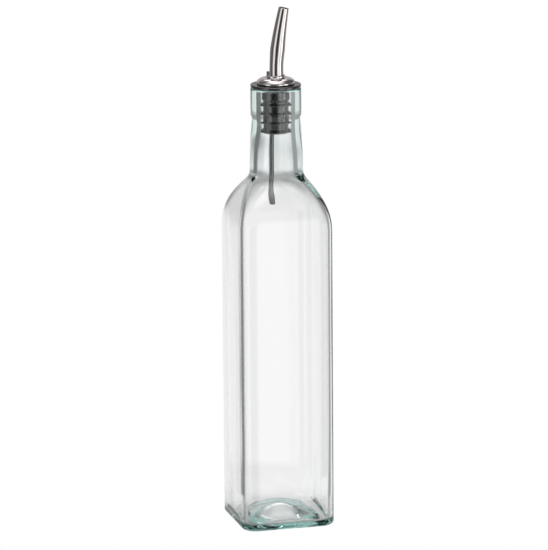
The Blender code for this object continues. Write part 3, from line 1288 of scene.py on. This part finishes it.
@dataclass
class Pourer:
    """The stopper, cap, spout and air tube."""

    channel_r: float = 3.0 * MM
    channel: Pair = (0.8 * MM, -0.8 * MM)
    gap: float = 0.3 * MM
    past: float = 2.0 * MM

    def install(self, steel: Material, dull_steel: Material, rubber: Material) -> None:
        """Make the pourer's pieces and file them.

        Args:
            steel: The spout's and the cap's material.
            dull_steel: The air tube's material.
            rubber: The stopper's material.
        """
        spout, tube = Spout(), AirTube()
        foot = Stopper.plug_foot_z - self.past
        socket_foot = spout.foot_z - self.gap
        socket_r, tube_r = spout.foot_r + self.gap, tube.radius + self.gap
        cutters = [
            rod("socket", (spout.foot_x, 0.0), socket_r, socket_foot, spout.bend_z),
            rod("tube_top", tube.high, tube_r, tube.bend_to_z - self.past, tube.top_z + self.past),
        ]
        low_cutters = [
            rod("channel", self.channel, self.channel_r, foot, socket_foot + self.past),
            rod("tube_low", tube.low, tube_r, foot, tube.bend_from_z),
        ]
        Cap(cutters).install(steel)
        Stopper(cutters + low_cutters).install(rubber)
        spout.install(steel)
        tube.install(dull_steel)
        for cutter in cutters + low_cutters:
            bpy.data.objects.remove(cutter)


@dataclass
class PhotoCamera:
    """The camera of the photograph, a long lens that looks slightly down."""

    yaw: float = math.radians(14.94)
    pitch: float = math.radians(12.71)
    roll: float = math.radians(0.446)
    distance: float = 2.652
    aside: float = -1.87 * MM
    aim_z: float = 149.5 * MM
    lens: float = 292.79
    sensor: float = 36.0
    clip: Pair = (0.05, 50.0)

    def build(self) -> None:
        """Make the camera and make it the scene's."""
        right = Vector((math.cos(self.yaw), -math.sin(self.yaw), 0))
        level_back = Vector((-math.sin(self.yaw), -math.cos(self.yaw), 0))
        back = level_back * math.cos(self.pitch) + Vector((0, 0, math.sin(self.pitch)))
        up = back.cross(right)
        aim = right * self.aside + Vector((0, 0, self.aim_z))
        tilted_right = right * math.cos(self.roll) - up * math.sin(self.roll)
        tilted_up = up * math.cos(self.roll) + right * math.sin(self.roll)
        turn = Matrix((tilted_right, tilted_up, back)).transposed().to_4x4()
        data = bpy.data.cameras.new("photo_camera")
        data.sensor_fit = "HORIZONTAL"
        data.sensor_width = self.sensor
        data.lens = self.lens
        data.clip_start, data.clip_end = self.clip
        camera = add_object("photo_camera", data)
        camera.matrix_world = Matrix.Translation(aim + back * self.distance) @ turn
        bpy.context.scene.camera = camera


@dataclass(frozen=True)
class Screen:
    """One soft-edged patch of the surround, in degrees, with how bright it is."""

    azimuth: float
    half_width: float
    low: float
    high: float
    level: float
    soft: float

    def mask(self, graph: Graph, flat: bpy.types.NodeOutputs, rise: Socket) -> Socket:
        """Where the patch lies.

        Args:
            graph: The surround's nodes.
            flat: The direction's level parts X and Y, of length one.
            rise: The direction's height above the horizon, in degrees.

        Returns:
            One inside the patch, falling to zero round it.
        """
        across = math.radians(self.azimuth)
        along_x = graph.math("MULTIPLY", flat["X"], math.cos(across))
        facing = graph.math("MULTIPLY_ADD", flat["Y"], math.sin(across), along_x)
        off = graph.math("MULTIPLY", graph.math("ARCCOSINE", facing), math.degrees(1.0))
        sides = graph.fade(off, self.half_width + self.soft, self.half_width - self.soft)
        top = graph.fade(rise, self.high + self.soft, self.high - self.soft)
        foot = graph.fade(rise, self.low - self.soft, self.low + self.soft)
        return graph.math("MULTIPLY", sides, graph.math("MULTIPLY", top, foot))


@dataclass
class Studio:
    """The surround: soft screens with dark gaps between them, as glass is lit."""

    screens: tuple[Screen, ...] = (
        Screen(75, 200, -90, -24, 0.88, 4),
        Screen(255, 70, 58, 90, 1.8, 12),
        Screen(75, 60, 60, 90, 2.6, 6),
        Screen(75, 55, 12, 60, 0.30, 8),
        Screen(75, 55, 10, 22, 0.62, 5),
        Screen(75, 17, 36, 43, 4.0, 3),
        Screen(75, 36, -90, -5, 0.93, 5),
        Screen(145, 20, 12, 58, 0.10, 8),
        Screen(10, 44, 12, 58, 0.10, 10),
        Screen(128, 20, -20, 12, 0.20, 5),
        Screen(168, 18, -20, 10, 0.12, 5),
        Screen(208, 12, -22, 14, 1.1, 4),
        Screen(245, 18, -20, 8, 0.05, 5),
        Screen(286, 12, -22, 12, 1.4, 4),
        Screen(345, 22, -20, 12, 0.18, 5),
        Screen(320, 13, -20, 5, 1.9, 4),
    )
    rest: float = 0.38
    warmth: Colour = (1.0, 0.953, 0.957)
    floor_radius: float = 0.075
    floor_sides: int = 96
    floor_drop: float = 0.3 * MM
    # The floor's glow to all but the camera is a painted pool of light: floor_level within
    # floor_fade of floor_centre, behind the foot, falling to floor_dark further out.
    floor_level: float = 0.93
    floor_dark: float = 0.25
    floor_centre: Pair = (0.02, 0.07)
    floor_fade: Pair = (0.07, 0.11)
    # A painted soft shadow round the foot: the glow is multiplied by shade_level near the axis,
    # rising to full beyond shade_fade.
    shade_level: float = 0.70
    shade_fade: Pair = (15 * MM, 75 * MM)
    bounces: int = 32
    glossy_bounces: int = 12
    transparent_bounces: int = 16

    def build_world(self) -> None:
        """Make the surround, white to the camera and in screens to what it lights."""
        world = bpy.data.worlds.new("surround")
        bpy.context.scene.world = world
        world.use_nodes = True
        graph = Graph(world.node_tree)
        way = graph.add("ShaderNodeTexCoord").outputs["Generated"]
        rise = graph.math("ARCSINE", graph.add("ShaderNodeSeparateXYZ", {0: way}).outputs["Z"])
        rise = graph.math("MULTIPLY", rise, math.degrees(1.0))
        level_way = graph.vector("MULTIPLY", {0: way, 1: (1.0, 1.0, 0.0)}).outputs[0]
        unit = graph.vector("NORMALIZE", {0: level_way}).outputs[0]
        flat = graph.add("ShaderNodeSeparateXYZ", {0: unit}).outputs
        level = self.rest
        for screen in self.screens:
            level = graph.mix(screen.mask(graph, flat, rise), level, screen.level, "FLOAT")
        shown = graph.white_to_camera(self.warmth, level)
        back = graph.add("ShaderNodeBackground", {"Color": shown})
        graph.add("ShaderNodeOutputWorld", {"Surface": back.outputs[0]})

    def build_floor(self) -> None:
        """Make the pale floor, white to the camera, and to all else a painted pool of light with a
        painted soft shadow round the foot.
        """
        shape = bmesh.new()
        sizes = {"segments": self.floor_sides, "radius": self.floor_radius}
        bmesh.ops.create_circle(shape, cap_ends=True, **sizes)
        bmesh.ops.translate(shape, verts=shape.verts, vec=(0, 0, -self.floor_drop))
        made, graph, place = new_material("pale_floor")
        off = graph.vector("DISTANCE", {0: place, 1: (*self.floor_centre, 0.0)}).outputs["Value"]
        # Painted pool of light: the glow falls from floor_level to floor_dark away from
        # floor_centre.
        painted_light_pool = graph.fade(off, *self.floor_fade, self.floor_level, self.floor_dark)
        # Painted soft shadow: the glow is darker near the axis, under the foot.
        near = graph.vector("LENGTH", {0: place}).outputs["Value"]
        painted_shadow = graph.fade(near, *self.shade_fade, self.shade_level, 1.0)
        glow = graph.white_to_camera(self.warmth, graph.math("MULTIPLY", painted_light_pool, painted_shadow))
        shader = graph.add("ShaderNodeEmission", {"Color": glow})
        graph.add("ShaderNodeOutputMaterial", {"Surface": shader.outputs[0]})
        floor = add_object("floor", filled_mesh("floor", shape), made)

    def build(self) -> None:
        """Set up the surround, the floor and how light is traced."""
        self.build_world()
        self.build_floor()
        scene = bpy.context.scene
        scene.view_settings.view_transform = "Standard"
        scene.view_settings.look = "None"
        scene.cycles.max_bounces = self.bounces
        scene.cycles.transmission_bounces = self.bounces
        scene.cycles.glossy_bounces = self.glossy_bounces
        scene.cycles.transparent_max_bounces = self.transparent_bounces
        scene.cycles.use_denoising = True


def main() -> None:
    """Build the bottle and its pourer, then the studio round them."""
    logging.basicConfig(level=logging.INFO, format="%(message)s")
    glass, steel, rubber = GlassFinish().build(), SteelFinish().build(), RubberFinish().build()
    dull = SteelFinish(name="dull_steel", colour=(0.27, 0.28, 0.285), smooth=0.30, dull=0.42)
    GlassBottle().install(glass)
    Pourer().install(steel, dull.build(), rubber)
    PhotoCamera().build()
    Studio().build()


if __name__ == "__main__":
    main()
